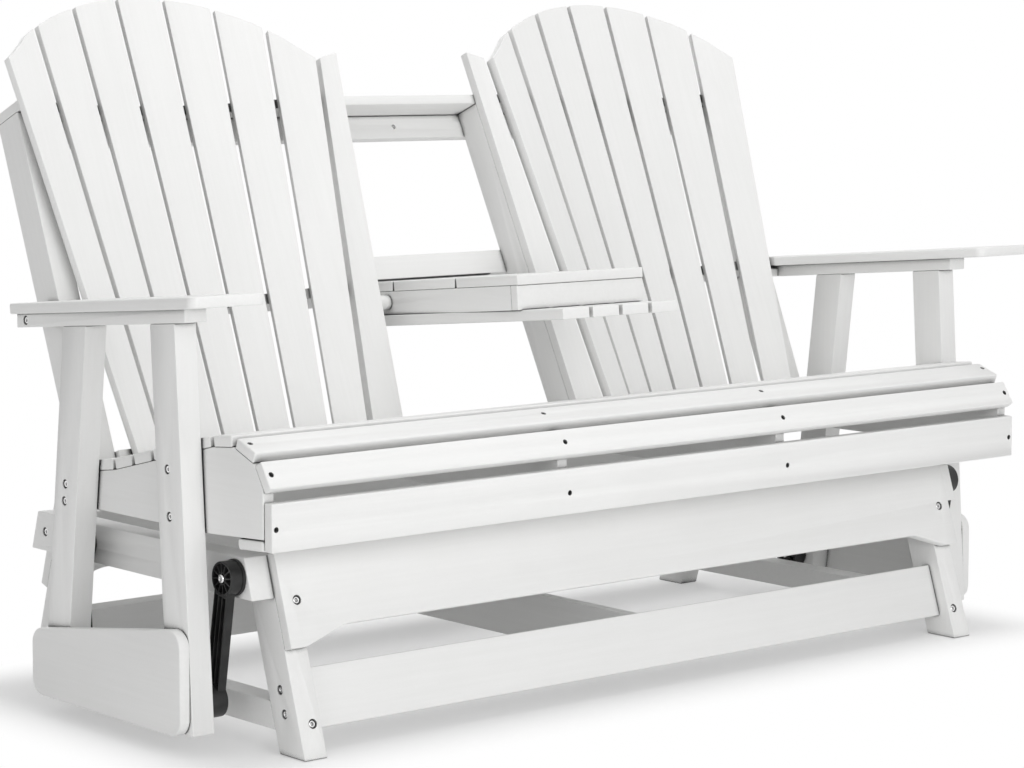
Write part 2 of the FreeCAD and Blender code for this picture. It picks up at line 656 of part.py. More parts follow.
def pitch_at(level):
    span = size["fan_high"] - size["fan_low"]
    return size["pitch_low"] + (size["pitch_high"] - size["pitch_low"]) * (level - size["fan_low"]) / span


PITCH_TOP = pitch_at(size["cap_low"] + size["cap_thick"] / 2)


def rail_radius(low, thick):
    """Radius of the hollow that keeps each slat at one depth as the fan narrows downward."""
    def pitch_of(level):
        share = "(%s - fan_low) / (fan_high - fan_low)" % level
        return "(pitch_low + (pitch_high - pitch_low) * %s)" % share
    local = pitch_of("%s + %s / 2" % (low, thick))
    return "fan_radius * (%s / %s)^2" % (local, pitch_of("cap_low + cap_thick / 2"))


post_near = "(back_post_face - back_post_thick)"
rails = []
cap = plate("cap_blank", "-back_post_face", "back_post_face", "cap_low", "cap_thick", "cap_deep")
lower = plate("lower_rail_blank", "-" + post_near, post_near, "lower_rail_low", "contour_thick", "cap_deep")
for mark in ("-", ""):
    hollow(cap, mark + "fan_x", "cap_low", "cap_thick", rail_radius("cap_low", "cap_thick"))
    hollow(lower, mark + "fan_x", "lower_rail_low", "contour_thick",
           rail_radius("lower_rail_low", "contour_thick"))
rails.append(cap)
rails.append(lower)
for name, mark in (("left", "-"), ("right", "")):
    rail = plate(name + "_contour_blank", mark + "contour_inner", mark + post_near, "contour_low",
                 "contour_thick", "cap_deep")
    hollow(rail, mark + "fan_x", "contour_low", "contour_thick", rail_radius("contour_low", "contour_thick"))
    rails.append(rail)
keep(board("upper_back_rail", "XY_Plane", "0",
           [("-" + post_near, "upper_rail_low"), (post_near, "upper_rail_low"),
            (post_near, "cap_low"), ("-" + post_near, "cap_low")], "board_thick", BACK))
keep(board("stop_rail", "XY_Plane", "0",
           [("-stop_rail_run", "stop_rail_low"), ("stop_rail_run", "stop_rail_low"),
            ("stop_rail_run", "stop_rail_high"), ("-stop_rail_run", "stop_rail_high")], "board_thick", BACK))


def slat_frame(middle, number):
    """Placement of one fan slat in the back frame, seated on the hollow of the rails."""
    low = size["fan_low"]
    high = size["fan_high"]
    depth = size["fan_back"] + (number * PITCH_TOP) ** 2 / (2 * size["fan_radius"])
    foot = FreeCAD.Vector(middle + number * size["pitch_low"], low, depth)
    head = FreeCAD.Vector(middle + number * size["pitch_high"], high, depth)
    along = (head - foot).normalize()
    turn = math.atan(number * PITCH_TOP ** 2 / (size["fan_radius"] * pitch_at(0.45 * (low + high))))
    across = FreeCAD.Vector(math.cos(turn), 0, math.sin(turn))
    across = (across - along * across.dot(along)).normalize()
    out = across.cross(along)
    matrix = FreeCAD.Matrix(across.x, along.x, out.x, foot.x, across.y, along.y, out.y, foot.y,
                            across.z, along.z, out.z, foot.z, 0, 0, 0, 1)
    return FreeCAD.Placement(matrix)


FAN_SLAT = [
    ("-(pitch_low - slat_gap) / 2", "0"),
    ("(pitch_low - slat_gap) / 2", "0"),
    ("(pitch_high - slat_gap) / 2", "fan_high - fan_low"),
    ("-(pitch_high - slat_gap) / 2", "fan_high - fan_low"),
]
slats = []
for name, sign in (("left", -1), ("right", 1)):
    middle = sign * size["fan_x"]
    centre = size["crown_high"] - size["crown_radius"]
    room = size["crown_room"]
    block = box(name + "_crown_block", (middle - size["crown_radius"] - room, centre, -room),
                ("2 * crown_radius + 2 * crown_room", "crown_radius + crown_room", "3 * crown_room"), BACK)
    disc = doc.addObject("Part::Cylinder", name + "_crown_disc")
    disc.setExpression("Radius", bind("crown_radius"))
    disc.setExpression("Height", bind("5 * crown_room"))
    disc.Placement = BACK * placed((middle, centre, -2 * room))
    crown = doc.addObject("Part::Cut", name + "_crown")
    crown.Base = block
    crown.Tool = disc
    fan = []
    for number in range(-3, 4):
        place = BACK * slat_frame(middle, number)
        count = number + 4
        blank = board("%s_blank_%d" % (name, count), "XY_Plane", "slat_seat", FAN_SLAT, "back_slat_thick",
                      place)
        cut = doc.addObject("Part::Cut", "%s_fan_slat_%d" % (name, count))
        cut.Base = blank
        cut.Tool = crown
        fan.append(cut)
    keep(group(name + "_back_slats", fan))
    slats.extend(fan)
    mark = "" if sign > 0 else "-"
    keep(board(name + "_inner_slat", "XY_Plane", "cap_deep",
               [(mark + "inner_slat_out_low", "fan_low"), (mark + "inner_slat_in_low", "fan_low"),
                (mark + "inner_slat_in_high", "inner_slat_crest"),
                (mark + "inner_slat_out_high", "inner_slat_valley")], "back_slat_thick", BACK))

# The hollow rails are relieved to the flat backs of the slats they carry.
fans = group("fan_slats", slats)
seated = []
for blank in rails:
    label = blank.Label.replace("_rail_blank", "_back_rail").replace("cap_blank", "back_cap")
    label = label.replace("_contour_blank", "_contour_rail")
    cut = doc.addObject("Part::Cut", label)
    cut.Label = label
    cut.Base = blank
    cut.Tool = fans
    seated.append(cut)
keep(seated[0], seated[1], group("contour_rails", seated[2:]))

# Console, drawn in its lowered place: local y to the rear, z up, origin on the pivot

CONSOLE = placed((0, size["console_y"], size["console_z"]), (1, 0, 0), -size["console_slope"])
half = size["console_half"]
wall = size["console_board"]
skirt_low = size["console_top"] - wall - size["console_skirt"]
boards = []
slit = size["console_slit"] / 2
spans = [(-size["console_front"] - size["console_lip"],
          "console_front + console_lip - front_slit - console_slit / 2"),
         (slit - size["front_slit"], "front_slit - rear_slit - console_slit"),
         (slit - size["rear_slit"], "rear_slit + console_rear - console_slit / 2")]
for number, (front, wide) in enumerate(spans, start=1):
    boards.append(box("console_top_%d" % number, (-half, front, size["console_top"] - wall),
                      ("2 * console_half", wide, "console_board"), CONSOLE))
keep(group("console_top_boards", boards))
for name, side in (("left", -1), ("right", 1)):
    start = "console_half - console_board" if side > 0 else "-console_half"
    body = board("console_%s_skirt" % name, "YZ_Plane", start,
                 [("-console_front", "console_top - console_board - console_skirt"),
                  ("console_rear", "console_top - console_board - console_skirt"),
                  ("console_rear", "console_top - console_board"),
                  ("-console_front", "console_top - console_board")], "console_board", CONSOLE)
    outer = "console_half" if side > 0 else "-console_half"
    drill(body, "YZ_Plane", outer, [("0", "0")], "hinge_radius + pin_fit", "console_board", side < 0)
    keep(body)
end_skirts = []
END_SPANS = ("2 * console_half - 2 * console_board", "console_board", "console_skirt")
for name, front in (("front", -size["console_front"]), ("rear", size["console_rear"] - wall)):
    end_skirts.append(box("console_%s_skirt" % name, (wall - half, front, skirt_low), END_SPANS, CONSOLE))
keep(group("console_end_skirts", end_skirts))
panel = []
for number in range(4):
    corners = []
    for along, reach in (("-panel_front", "panel_half_front"), ("panel_rear", "panel_half_rear")):
        left = "%s * %g + console_slit / 2" % (reach, (number - 2) / 2)
        right = "%s * %g - console_slit / 2" % (reach, (number - 1) / 2)
        corners.append((left, right, along))
    (near_left, near_right, near), (far_left, far_right, far) = corners
    panel.append(board("console_slat_%d" % (number + 1), "XY_Plane",
                       "console_top - console_board - console_skirt",
                       [(near_left, near), (near_right, near), (far_right, far), (far_left, far)],
                       "panel_thick", CONSOLE, True))
keep(group("console_slats", panel))

# Pivot bolts and pins


def shaft(centre, axis, start, end, radius):
    base = FreeCAD.Vector(*centre) + FreeCAD.Vector(*axis) * start
    return Part.makeCylinder(radius, end - start, base, FreeCAD.Vector(*axis))


def hex_bar(centre, axis, start, end, radius):
    direction = FreeCAD.Vector(*axis)
    base = FreeCAD.Vector(*centre) + direction * start
    frame = FreeCAD.Placement(base, FreeCAD.Rotation(FreeCAD.Vector(0, 0, 1), direction))
    ring = []
    for step in range(7):
        turn = math.radians(60 * step)
        ring.append(frame.multVec(FreeCAD.Vector(radius * math.cos(turn), radius * math.sin(turn), 0)))
    return Part.Face(Part.makePolygon(ring)).extrude(direction * (end - start))


def solids(label, shapes):
    item = doc.addObject("Part::Feature", label)
    item.Label = label
    item.Shape = Part.makeCompound(shapes)
    return item


pin = size["pin_radius"]
head_tall = size["pin_head_high"]
upper = []
lower_pins = []
for side in (-1, 1):
    out = (side, 0, 0)
    for hang in ("front_hang_y", "rear_hang_y"):
        spot = (side * size["rail_face"], size[hang], size["pivot_high"])
        seat = size["high_hub_end"] - size["head_sink"] + size["head_gap"]
        body = shaft(spot, out, size["pin_stop"] - size["top_rail_thick"], seat, pin)
        head = hex_bar(spot, out, seat, seat + head_tall, size["pin_head"])
        upper.append(body.fuse(head))
    for swing in ("front_swing_y", "rear_swing_y"):
        spot = (side * size["rail_face"], size[swing], size["pivot_low"])
        seat = size["low_hub_start"] - size["head_gap"]
        bottom = size["post_face"] + size["post_thick"] - size["post_stop"] - size["rail_face"]
        body = shaft(spot, out, seat, bottom - size["head_gap"], pin)
        head = hex_bar(spot, out, seat - head_tall, seat, size["pin_head"])
        lower_pins.append(body.fuse(head))
keep(solids("upper_pivot_bolts", upper))
keep(solids("lower_pivot_bolts", lower_pins))

pins = []
spacers = []
spot = (0, size["console_y"], size["console_z"])
hinge_up = BACK.inverse().multVec(FreeCAD.Vector(*spot)).y
post_run = size["cap_low"] - size["lower_rail_low"] - size["contour_thick"]
post_share = (size["cap_low"] - hinge_up) / post_run
post_x = size["inner_top_x"] + (size["inner_foot_x"] - size["inner_top_x"]) * post_share
for side in (-1, 1):
    out = (side, 0, 0)
    pins.append(shaft(spot, out, half - wall - size["hinge_inset"], size["hinge_end"], size["hinge_radius"]))
    tube = shaft(spot, out, half + size["spacer_gap"], post_x - size["spacer_stop"], size["spacer_radius"])
    bore = shaft(spot, out, half, post_x, size["hinge_radius"] + size["pin_seat"])
    spacers.append(tube.cut(bore))
keep(solids("console_pins", pins))
keep(solids("console_spacers", spacers))

doc.recompute()
for item in doc.Objects:
    if "Invalid" in item.State or "Error" in item.State:
        raise RuntimeError("not solved: " + item.Label)
os.makedirs("parts", exist_ok=True)
shift = FreeCAD.Vector(0, size["origin_shift"], 0)
for item in nodes:
    shape = item.Shape.translated(shift)
    if shape.isNull() or not shape.isValid() or not shape.Solids:
        raise RuntimeError("bad shape: " + item.Label)
    shape.exportStep("parts/%s.step" % item.Label)
print("nodes", len(nodes))
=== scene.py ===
# %% [markdown]
# # A glider loveseat in white poly lumber
# The seat hangs on four black links inside a standing base, and a console folds up between two fan backs.
# The frame brings every board at its true size. This lesson gives the boards their eased edges, sinks bolts
# and screws into them, and finishes plastic, links and steel with procedural materials.

# %% Load the frame
import json
import math

import bmesh
import bpy
from mathutils import Matrix, Vector


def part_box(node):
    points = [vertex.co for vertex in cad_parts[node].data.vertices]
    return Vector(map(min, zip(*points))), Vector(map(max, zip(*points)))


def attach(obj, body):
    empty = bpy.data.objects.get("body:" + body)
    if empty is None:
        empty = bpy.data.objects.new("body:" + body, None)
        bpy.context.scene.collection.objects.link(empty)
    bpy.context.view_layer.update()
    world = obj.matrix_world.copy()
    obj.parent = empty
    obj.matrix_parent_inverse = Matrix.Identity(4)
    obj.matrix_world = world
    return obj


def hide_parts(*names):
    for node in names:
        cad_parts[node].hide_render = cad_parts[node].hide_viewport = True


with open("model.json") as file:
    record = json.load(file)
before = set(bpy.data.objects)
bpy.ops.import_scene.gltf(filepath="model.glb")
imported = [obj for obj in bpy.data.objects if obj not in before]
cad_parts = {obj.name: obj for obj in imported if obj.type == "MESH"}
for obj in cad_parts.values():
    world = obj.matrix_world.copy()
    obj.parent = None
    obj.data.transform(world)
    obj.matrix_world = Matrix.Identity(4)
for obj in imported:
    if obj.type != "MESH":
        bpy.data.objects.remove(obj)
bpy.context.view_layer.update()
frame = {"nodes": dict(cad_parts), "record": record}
scene = bpy.context.scene

# %% [markdown]
# The record says which body each node moves with and what it is made of. Nearly all nodes are white boards.
# The two small spacers of the console are listed with them, because a white tube shows least between white
# boards.

# %% Boards and bodies
BODIES = frame["record"]["behaviour"]["bodies"]
body_of = {node: body for body, nodes in BODIES.items() for node in nodes}
slot_of = {part["node"]: part["material_slot"] for part in frame["record"]["subparts"]}
boards = [node for node in body_of if slot_of[node] == "white_lumber" or node == "console_spacers"]

# %% [markdown]
# Shader sums read best as plain Python. Math nodes could be placed and linked one by one, but then a sum of
# three noises takes a dozen lines. Here a Wire stands for one output socket: adding, subtracting or
# multiplying wires lays down the Math nodes, and a number may stand on either side.

# %% Wires


class Wire:
    """One output socket of a finish, usable in sums."""

    def __init__(self, finish, socket):
        self.finish = finish
        self.socket = socket

    def combine(self, operation, left, right):
        return self.finish.node("ShaderNodeMath", {"operation": operation}, {0: left, 1: right})

    def largest(self, other):
        return self.combine("MAXIMUM", self, other)

    def __add__(self, other):
        return self.combine("ADD", self, other)

    def __radd__(self, other):
        return self.combine("ADD", other, self)

    def __sub__(self, other):
        return self.combine("SUBTRACT", self, other)

    def __rsub__(self, other):
        return self.combine("SUBTRACT", other, self)

    def __mul__(self, other):
        return self.combine("MULTIPLY", self, other)

    def __rmul__(self, other):
        return self.combine("MULTIPLY", other, self)


print("Wire:", Wire.__doc__)

# %% [markdown]
# A Finish owns one node tree, that of a material or of the sky. Its node method lays down any node from a
# type, the settings that are made first, and the values or wires of its sockets.

# %% Finishes


class Finish:
    """A material or a sky whose nodes are laid down one call at a time."""

    def __init__(self, name, library=bpy.data.materials):
        self.block = library.new(name)
        self.block.use_nodes = True
        self.tree = self.block.node_tree
        self.tree.nodes.clear()

    def node(self, kind, settings=None, inputs=None, output=0):
        made = self.tree.nodes.new(kind)
        for name, value in (settings or {}).items():
            if name == "stops":
                self.set_stops(made.color_ramp, value)
            else:
                setattr(made, name, value)
        for name, value in (inputs or {}).items():
            if isinstance(value, Wire):
                self.tree.links.new(value.socket, made.inputs[name])
            else:
                made.inputs[name].default_value = value
        return Wire(self, made.outputs[output]) if made.outputs else None

    def set_stops(self, ramp, stops):
        ramp.elements[0].position, ramp.elements[0].color = stops[0]
        ramp.elements[1].position, ramp.elements[1].color = stops[-1]
        for position, color in stops[1:-1]:
            ramp.elements.new(position).color = color

    def surface(self, inputs):
        shader = self.node("ShaderNodeBsdfPrincipled", None, inputs)
        self.node("ShaderNodeOutputMaterial", None, {"Surface": shader})
        print("finish", self.block.name, "with", len(self.tree.nodes), "nodes")
        return self.block


print("Finish:", Finish.__doc__)

# %% [markdown]
# Ambient Occlusion with a reach of a few millimetres finds where two boards meet and the sockets of the
# bolts, and darkens the colour there. This is painted shade in place of the shadow that falls there. The
# boards
# take it twice: softly in the gaps between slats, and as a thin dark line where two boards touch.

# %% Painted shade in gaps and joints
SHADE_SAMPLES = 4


def grey(level):
    return (level, level, level, 1.0)


def tint(finish, value, stops):
    """Turn a value into a colour by the stops of a ramp."""
    return finish.node("ShaderNodeValToRGB", {"stops": stops}, {"Fac": value})


def paint_shade_in_slits(finish, colour, reach, stops):
    """Paint shade: darken a colour in slits and pockets that are narrower than the reach."""
    open_air = finish.node("ShaderNodeAmbientOcclusion", {"samples": SHADE_SAMPLES}, {"Distance": reach}, "AO")
    painted_shade = tint(finish, open_air, stops)
    return finish.node("ShaderNodeMix", {"data_type": "RGBA", "blend_type": "MULTIPLY"},
                       {0: 1.0, 6: colour, 7: painted_shade}, 2)


GAP_REACH = 0.016
GAP_SHADE = [(0.3, grey(0.3)), (0.7, grey(1.0))]
JOINT_REACH = 0.006
JOINT_SHADE = [(0.5, grey(0.2)), (0.74, grey(1.0))]
print("dust reaches", GAP_REACH, "m into gaps and", JOINT_REACH, "m into joints")

# %% [markdown]
# Poly lumber is a foamed plastic board. It is extruded, so its skin has faint streaks along the board, a fine
# pebble left by the die, and a soft sheen. The streaks must run along each board, so the finish is made once
# for each direction that the boards of this seat take: across, front to back, upright, and up the reclined
# backs. All noise is measured in metres from the frame's origin, so it is as fine on a small board as on a
# large one.

# %% White poly lumber
BACK_LEAN = math.radians(22)
LIGHT_WHITE = (0.85, 0.85, 0.843, 1.0)
DEEP_WHITE = (0.815, 0.815, 0.806, 1.0)


def noise(finish, place, scale, detail, roughness=0.5):
    return finish.node("ShaderNodeTexNoise", None,
                       {"Vector": place, "Scale": scale, "Detail": detail, "Roughness": roughness})


def bumps(finish, height, strength, distance):
    return finish.node("ShaderNodeBump", None, {"Strength": strength, "Distance": distance, "Height": height})


def lumber(name, stretch, lean=0.0):
    """White extruded board whose streaks run along the axis with the low stretch."""
    finish = Finish(name)
    place = finish.node("ShaderNodeTexCoord", None, None, "Object")
    turned = finish.node("ShaderNodeMapping", {"vector_type": "TEXTURE"},
                         {"Vector": place, "Rotation": (-lean, 0.0, 0.0)})
    along = finish.node("ShaderNodeMapping", None, {"Vector": turned, "Scale": stretch})
    streak = noise(finish, along, scale=1.0, detail=5.0, roughness=0.62)
    pebble = noise(finish, place, scale=520.0, detail=3.0, roughness=0.55)
    cloud = noise(finish, place, scale=7.0, detail=2.0)
    shade = 0.45 * streak + 0.25 * pebble + 0.3 * cloud
    colour = tint(finish, shade, [(0.36, DEEP_WHITE), (0.62, LIGHT_WHITE)])
    # painted shade: darker in the gaps between slats and along the lines where two boards touch
    colour = paint_shade_in_slits(finish, colour, GAP_REACH, GAP_SHADE)
    colour = paint_shade_in_slits(finish, colour, JOINT_REACH, JOINT_SHADE)
    rough = 0.36 + 0.16 * pebble + 0.1 * streak
    bump = bumps(finish, 0.6 * streak + 0.4 * pebble, strength=0.16, distance=0.0006)
    return finish.surface({"Base Color": colour, "Roughness": rough, "Normal": bump, "IOR": 1.5})


FINE = 150.0
LONG = 5.0
lumber_across = lumber("white_lumber_across", (LONG, FINE, FINE))
lumber_deep = lumber("white_lumber_deep", (FINE, LONG, FINE))
lumber_upright = lumber("white_lumber_upright", (FINE, FINE, LONG))
lumber_reclined = lumber("white_lumber_reclined", (FINE, FINE, LONG), BACK_LEAN)

# %% [markdown]
# The links are moulded in black nylon. Its skin is satin with a slight orange peel, a little smoother and
# darker on broad patches where the mould was polished.

# %% Black links


def moulded_black():
    finish = Finish("moulded_black")
    place = finish.node("ShaderNodeTexCoord", None, None, "Object")
    peel = noise(finish, place, scale=900.0, detail=2.0)
    patch = noise(finish, place, scale=45.0, detail=3.0)
    colour = tint(finish, patch, [(0.3, grey(0.01)), (0.7, grey(0.026))])
    rough = 0.3 + 0.16 * patch
    bump = bumps(finish, peel, strength=0.1, distance=0.0003)
    return finish.surface({"Base Color": colour, "Roughness": rough, "Normal": bump,
                           "Specular IOR Level": 0.4})


black_link = moulded_black()

# %% [markdown]
# Stainless fasteners are turned and tumbled: bright metal with a fine random scratch, darkened deep in the
# sockets by painted shade. The small screws of the seat front are coated dark, so they get a finish of their
# own from the same recipe.

# %% Steel and dark screws
POCKET_REACH = 0.006
POCKET_SHADE = [(0.45, grey(0.18)), (0.75, grey(1.0))]


def turned_steel(name, dark, bright, smooth):
    finish = Finish(name)
    place = finish.node("ShaderNodeTexCoord", None, None, "Object")
    scratch = noise(finish, place, scale=1400.0, detail=4.0, roughness=0.7)
    tarnish = noise(finish, place, scale=160.0, detail=2.0)
    colour = tint(finish, tarnish, [(0.3, grey(dark)), (0.65, grey(bright))])
    # painted shade: darker deep in the sockets and in the narrow ring around each head
    colour = paint_shade_in_slits(finish, colour, POCKET_REACH, POCKET_SHADE)
    rough = smooth + 0.2 * scratch
    bump = bumps(finish, scratch, strength=0.12, distance=0.0001)
    return finish.surface({"Base Color": colour, "Roughness": rough, "Normal": bump, "Metallic": 1.0})


steel = turned_steel("turned_steel", dark=0.68, bright=0.92, smooth=0.1)
dark_screw = turned_steel("dark_screw", dark=0.03, bright=0.07, smooth=0.35)

# %% [markdown]
# Every bolt sits in a round recess. A recess is described by the point on the board's face, the direction
# out of the face, and the radius and depth of the hole in millimetres. The list comes first, because the
# holes are cut before the edges are eased.

# %% A list of recesses
MM = 0.001
BOLT_HOLE = (6.9, 4.8)
SCREW_HOLE = (3.9, 3.4)
recesses = []


def recess(node, point, out, hole, kind):
    """Note one fastener: point in metres on the face of a node, out of the face along a unit vector."""
    radius, depth = hole
    recesses.append({"node": node, "point": Vector(point), "out": Vector(out).normalized(),
                     "radius": radius * MM, "depth": depth * MM, "kind": kind})


def side_recess(node, side, y, z, hole, kind):
    """Note one fastener in the face of a node that looks left (-1) or right (1)."""
    low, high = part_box(node)
    recess(node, (high.x if side > 0 else low.x, y, z), (side, 0, 0), hole, kind)


print("a bolt hole is", BOLT_HOLE, "mm and a screw hole", SCREW_HOLE, "mm")

# %% [markdown]
# The arm posts, the arm rails and the side rails of the base are bolted from the outside. The links hang on
# thick pins whose ends lie deep in the hubs. Each pin gets a socket head on its end, with no hole to cut.

# %% Bolts of the arms and the pivots
SIDES = ((-1, "left"), (1, "right"))
POST_BOLTS = {"front": ((-0.1912, 0.394), (-0.1953, 0.329)), "rear": ((0.0747, 0.344), (0.0777, 0.319))}
ARM_RAIL_BOLT_IN = 0.025
ARM_RAIL_BOLT_UP = 0.0125
TOP_RAIL_BOLT = (0.2512, 0.245)
HANG_PIVOTS = ((-0.2498, 0.245), (0.1317, 0.245))
PIVOT_SEAT = (7.6, 0.0)
for side, name in SIDES:
    for end, spots in POST_BOLTS.items():
        for y, z in spots:
            side_recess("%s_%s_arm_post" % (end, name), side, y, z, BOLT_HOLE, "bolt")
    rail = name + "_arm_rail"
    low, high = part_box(rail)
    side_recess(rail, side, high.y - ARM_RAIL_BOLT_IN, low.z + ARM_RAIL_BOLT_UP, BOLT_HOLE, "bolt")
    side_recess(name + "_top_rail", side, *TOP_RAIL_BOLT, BOLT_HOLE, "bolt")
    for y, z in HANG_PIVOTS:
        side_recess("upper_pivot_bolts", side, y, z, PIVOT_SEAT, "bolt_pivot")
print("bolts of arms and pivots", len(recesses))

# %% [markdown]
# Each leg of the base leans, so its bolts are measured along its slope from the foot: two in its side for
# the side stretcher, one in its face for the long stretcher, and one above in the arched rail that laps over
# it.

# %% Bolts of the base
LEG_LEAN = math.radians(17.6)
LEG_BOLTS_UP = (0.0695, 0.1035)
LEG_BOLT_IN = 0.0285
FOOT_BOLT_UP = 0.0493
ARCH_BOLT_UP = 0.219
ARCH_THICK = 0.017
FACE_BOLT_X = 0.656
for end, toward in (("front", -1), ("rear", 1)):
    slope = Vector((0, -toward * math.sin(LEG_LEAN), math.cos(LEG_LEAN)))
    outward = Vector((0, toward * math.cos(LEG_LEAN), math.sin(LEG_LEAN)))
    for side, name in SIDES:
        leg = "%s_%s_leg" % (end, name)
        low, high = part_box(leg)
        foot = Vector((0, low.y if toward < 0 else high.y, 0))
        for up in LEG_BOLTS_UP:
            spot = foot + slope * up - outward * LEG_BOLT_IN
            side_recess(leg, side, spot.y, spot.z, BOLT_HOLE, "bolt")
        spot = foot + slope * FOOT_BOLT_UP
        recess(leg, (side * FACE_BOLT_X, spot.y, spot.z), outward, BOLT_HOLE, "bolt")
        spot = foot + slope * ARCH_BOLT_UP + outward * ARCH_THICK
        recess(end + "_arched_rail", (side * FACE_BOLT_X, spot.y, spot.z), outward, BOLT_HOLE, "bolt")
print("bolts with those of the base", len(recesses))

# %% [markdown]
# The apron, the slope slat and the nosing slat at the seat's front are screwed to the frame in four columns.
# The two slats fall towards the front, so their screws are placed from the middle of the slat along its own
# slope.

# %% Screws of the seat front
SCREW_COLUMNS = (-0.7424, -0.223, 0.223, 0.7424)
APRON_SCREW_UP = 0.0312
SLAT_THICK = 0.016
FALLING_SLATS = {
    "nosing_slat": {"fall": math.radians(21), "width": 0.0445, "screw_up": 0.027},
    "slope_slat": {"fall": math.radians(57.5), "width": 0.041, "screw_up": 0.0205},
}


def screw_row(node, y, z, out):
    for x in SCREW_COLUMNS:
        recess(node, (x, y, z), out, SCREW_HOLE, "screw")


low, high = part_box("apron")
screw_row("apron", low.y, low.z + APRON_SCREW_UP, (0, -1, 0))
for node, slat in FALLING_SLATS.items():
    low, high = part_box(node)
    down = Vector((0, -math.cos(slat["fall"]), -math.sin(slat["fall"])))
    out = Vector((0, -math.sin(slat["fall"]), math.cos(slat["fall"])))
    spot = (low + high) / 2 + out * SLAT_THICK / 2 + down * (slat["width"] / 2 - slat["screw_up"])
    screw_row(node, spot.y, spot.z, out)
print("screws", len([item for item in recesses if item["kind"] == "screw"]))

# %% [markdown]
# One small bolt shows in the middle of the upper rail between the backs. The rail leans with the backs, so
# the bolt goes half the rail's thickness out from its middle, along the lean.

# %% Bolt of the upper back rail
HALF_UPPER_RAIL = 0.009
low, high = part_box("upper_back_rail")
rail_out = Vector((0, -math.cos(BACK_LEAN), math.sin(BACK_LEAN)))
rail_middle = Vector((0, (low.y + high.y) / 2, (low.z + high.z) / 2))
recess("upper_back_rail", rail_middle + rail_out * HALF_UPPER_RAIL, rail_out, SCREW_HOLE, "bolt_small")
print("fasteners", len(recesses))

# %% [markdown]
# The boards come out of a router, so every long edge is eased to a small round and shines as a thin bright
# line. A bevel on the triangles of the frame would break on their diagonals. So each board is copied first,
# and the triangles that lie in one plane are joined into a single flat face.

# %% Copy a board with flat faces
WELD = 0.01 * MM
FLAT = math.radians(0.8)


def flat_faced(mesh, name):
    """A copy of a mesh whose coplanar triangles are joined into single faces."""
    work = bmesh.new()
    work.from_mesh(mesh)
    bmesh.ops.remove_doubles(work, verts=work.verts, dist=WELD)
    bmesh.ops.dissolve_limit(work, angle_limit=FLAT, verts=work.verts, edges=work.edges)
    copy = bpy.data.meshes.new(name)
    work.to_mesh(copy)
    work.free()
    return copy


apron = frame["nodes"]["apron"].data
trial = flat_faced(apron, "trial")
print("the apron's", len(apron.polygons), "triangles make", len(trial.polygons), "faces")
bpy.data.meshes.remove(trial)

# %% [markdown]
# The bolt holes are cut with a boolean. All the holes of one board are cylinders in one cutter, a little
# longer than the holes, so that no thin skin is left at the face.

# %% Cut the bolt holes
HOLE_SIDES = 28
OVERSHOOT = 1.0 * MM


def add_piece(name, mesh):
    piece = bpy.data.objects.new(name, mesh)
    scene.collection.objects.link(piece)
    return piece


def aim(out):
    """Rotation that turns +Z to a direction."""
    return out.to_track_quat("Z", "Y").to_matrix().to_4x4()


def cut_holes(piece, holes):
    """Cut round recesses into a piece."""
    work = bmesh.new()
    for hole in holes:
        centre = hole["point"] - hole["out"] * (hole["depth"] / 2 - OVERSHOOT / 2)
        bmesh.ops.create_cone(work, cap_ends=True, segments=HOLE_SIDES, radius1=hole["radius"],
                              radius2=hole["radius"], depth=hole["depth"] + OVERSHOOT,
                              matrix=Matrix.Translation(centre) @ aim(hole["out"]))
    mesh = bpy.data.meshes.new("hole_cutter")
    work.to_mesh(mesh)
    work.free()
    cutter = add_piece("hole_cutter", mesh)
    knife = piece.modifiers.new("holes", "BOOLEAN")
    knife.operation = "DIFFERENCE"
    knife.solver = "EXACT"
    knife.object = cutter
    graph = bpy.context.evaluated_depsgraph_get()
    carved = bpy.data.meshes.new_from_object(piece.evaluated_get(graph))
    piece.modifiers.clear()
    piece.data = flat_faced(carved, piece.name)
    bpy.data.objects.remove(cutter)


print("boards with holes", len({item["node"] for item in recesses} & set(boards)))

# %% [markdown]
# The slats of the fans let light through between them and look thin at their outer edges. A shaving comes
# off both long sides of each slat, and its long rear edges get a chamfer, where a sitter never sees it. The
# edge beside the console stays square, because a chamfer there would open a bright sliver beside the narrow
# inner slat. The console's own slats lose a shaving too.

# %% Slim the slats
SIDEWAYS = 0.6
LONG_EDGE = 0.2
SHAVING_OF = {"left_back_slats": 1.3, "right_back_slats": 1.3, "console_slats": 1.8}
REAR_CHAMFER_OF = {"left_back_slats": 7.0, "right_back_slats": 7.0}


def plane_sides(mesh, depth):
    """Take a shaving off the two long sides of every slat, which are the faces that look mostly along X."""
    work = bmesh.new()
    work.from_mesh(mesh)
    for face in work.faces:
        if abs(face.normal.x) > SIDEWAYS:
            for vertex in face.verts:
                vertex.co -= face.normal * depth
    work.to_mesh(mesh)
    work.free()


def chamfer_rear(mesh, width):
    """Chamfer the long rear edges of the slats, all but the one beside the console."""
    work = bmesh.new()
    work.from_mesh(mesh)
    rear = []
    for edge in work.edges:
        looks = [face.normal for face in edge.link_faces]
        sideways = max(abs(look.x) for look in looks)
        backward = max(look.y for look in looks)
        if sideways > SIDEWAYS and backward > SIDEWAYS and edge.calc_length() > LONG_EDGE:
            rear.append(edge)
    rear.remove(min(rear, key=lambda edge: abs(edge.verts[0].co.x + edge.verts[1].co.x)))
    bmesh.ops.bevel(work, geom=rear, offset=width, segments=1, profile=0.5, affect="EDGES")
    work.to_mesh(mesh)
    work.free()


print("slimmed", ", ".join("%s by %.1f mm" % pair for pair in SHAVING_OF.items()))

# %% [markdown]
# Two more places are trimmed. The console's front skirt runs past the ends of its side skirts, as a lapped
# corner does, so those ends are pulled in by one board's thickness and the front skirt is lengthened by as
# much. The spacers of the arms stay behind the arm rails, so that none hangs out below.

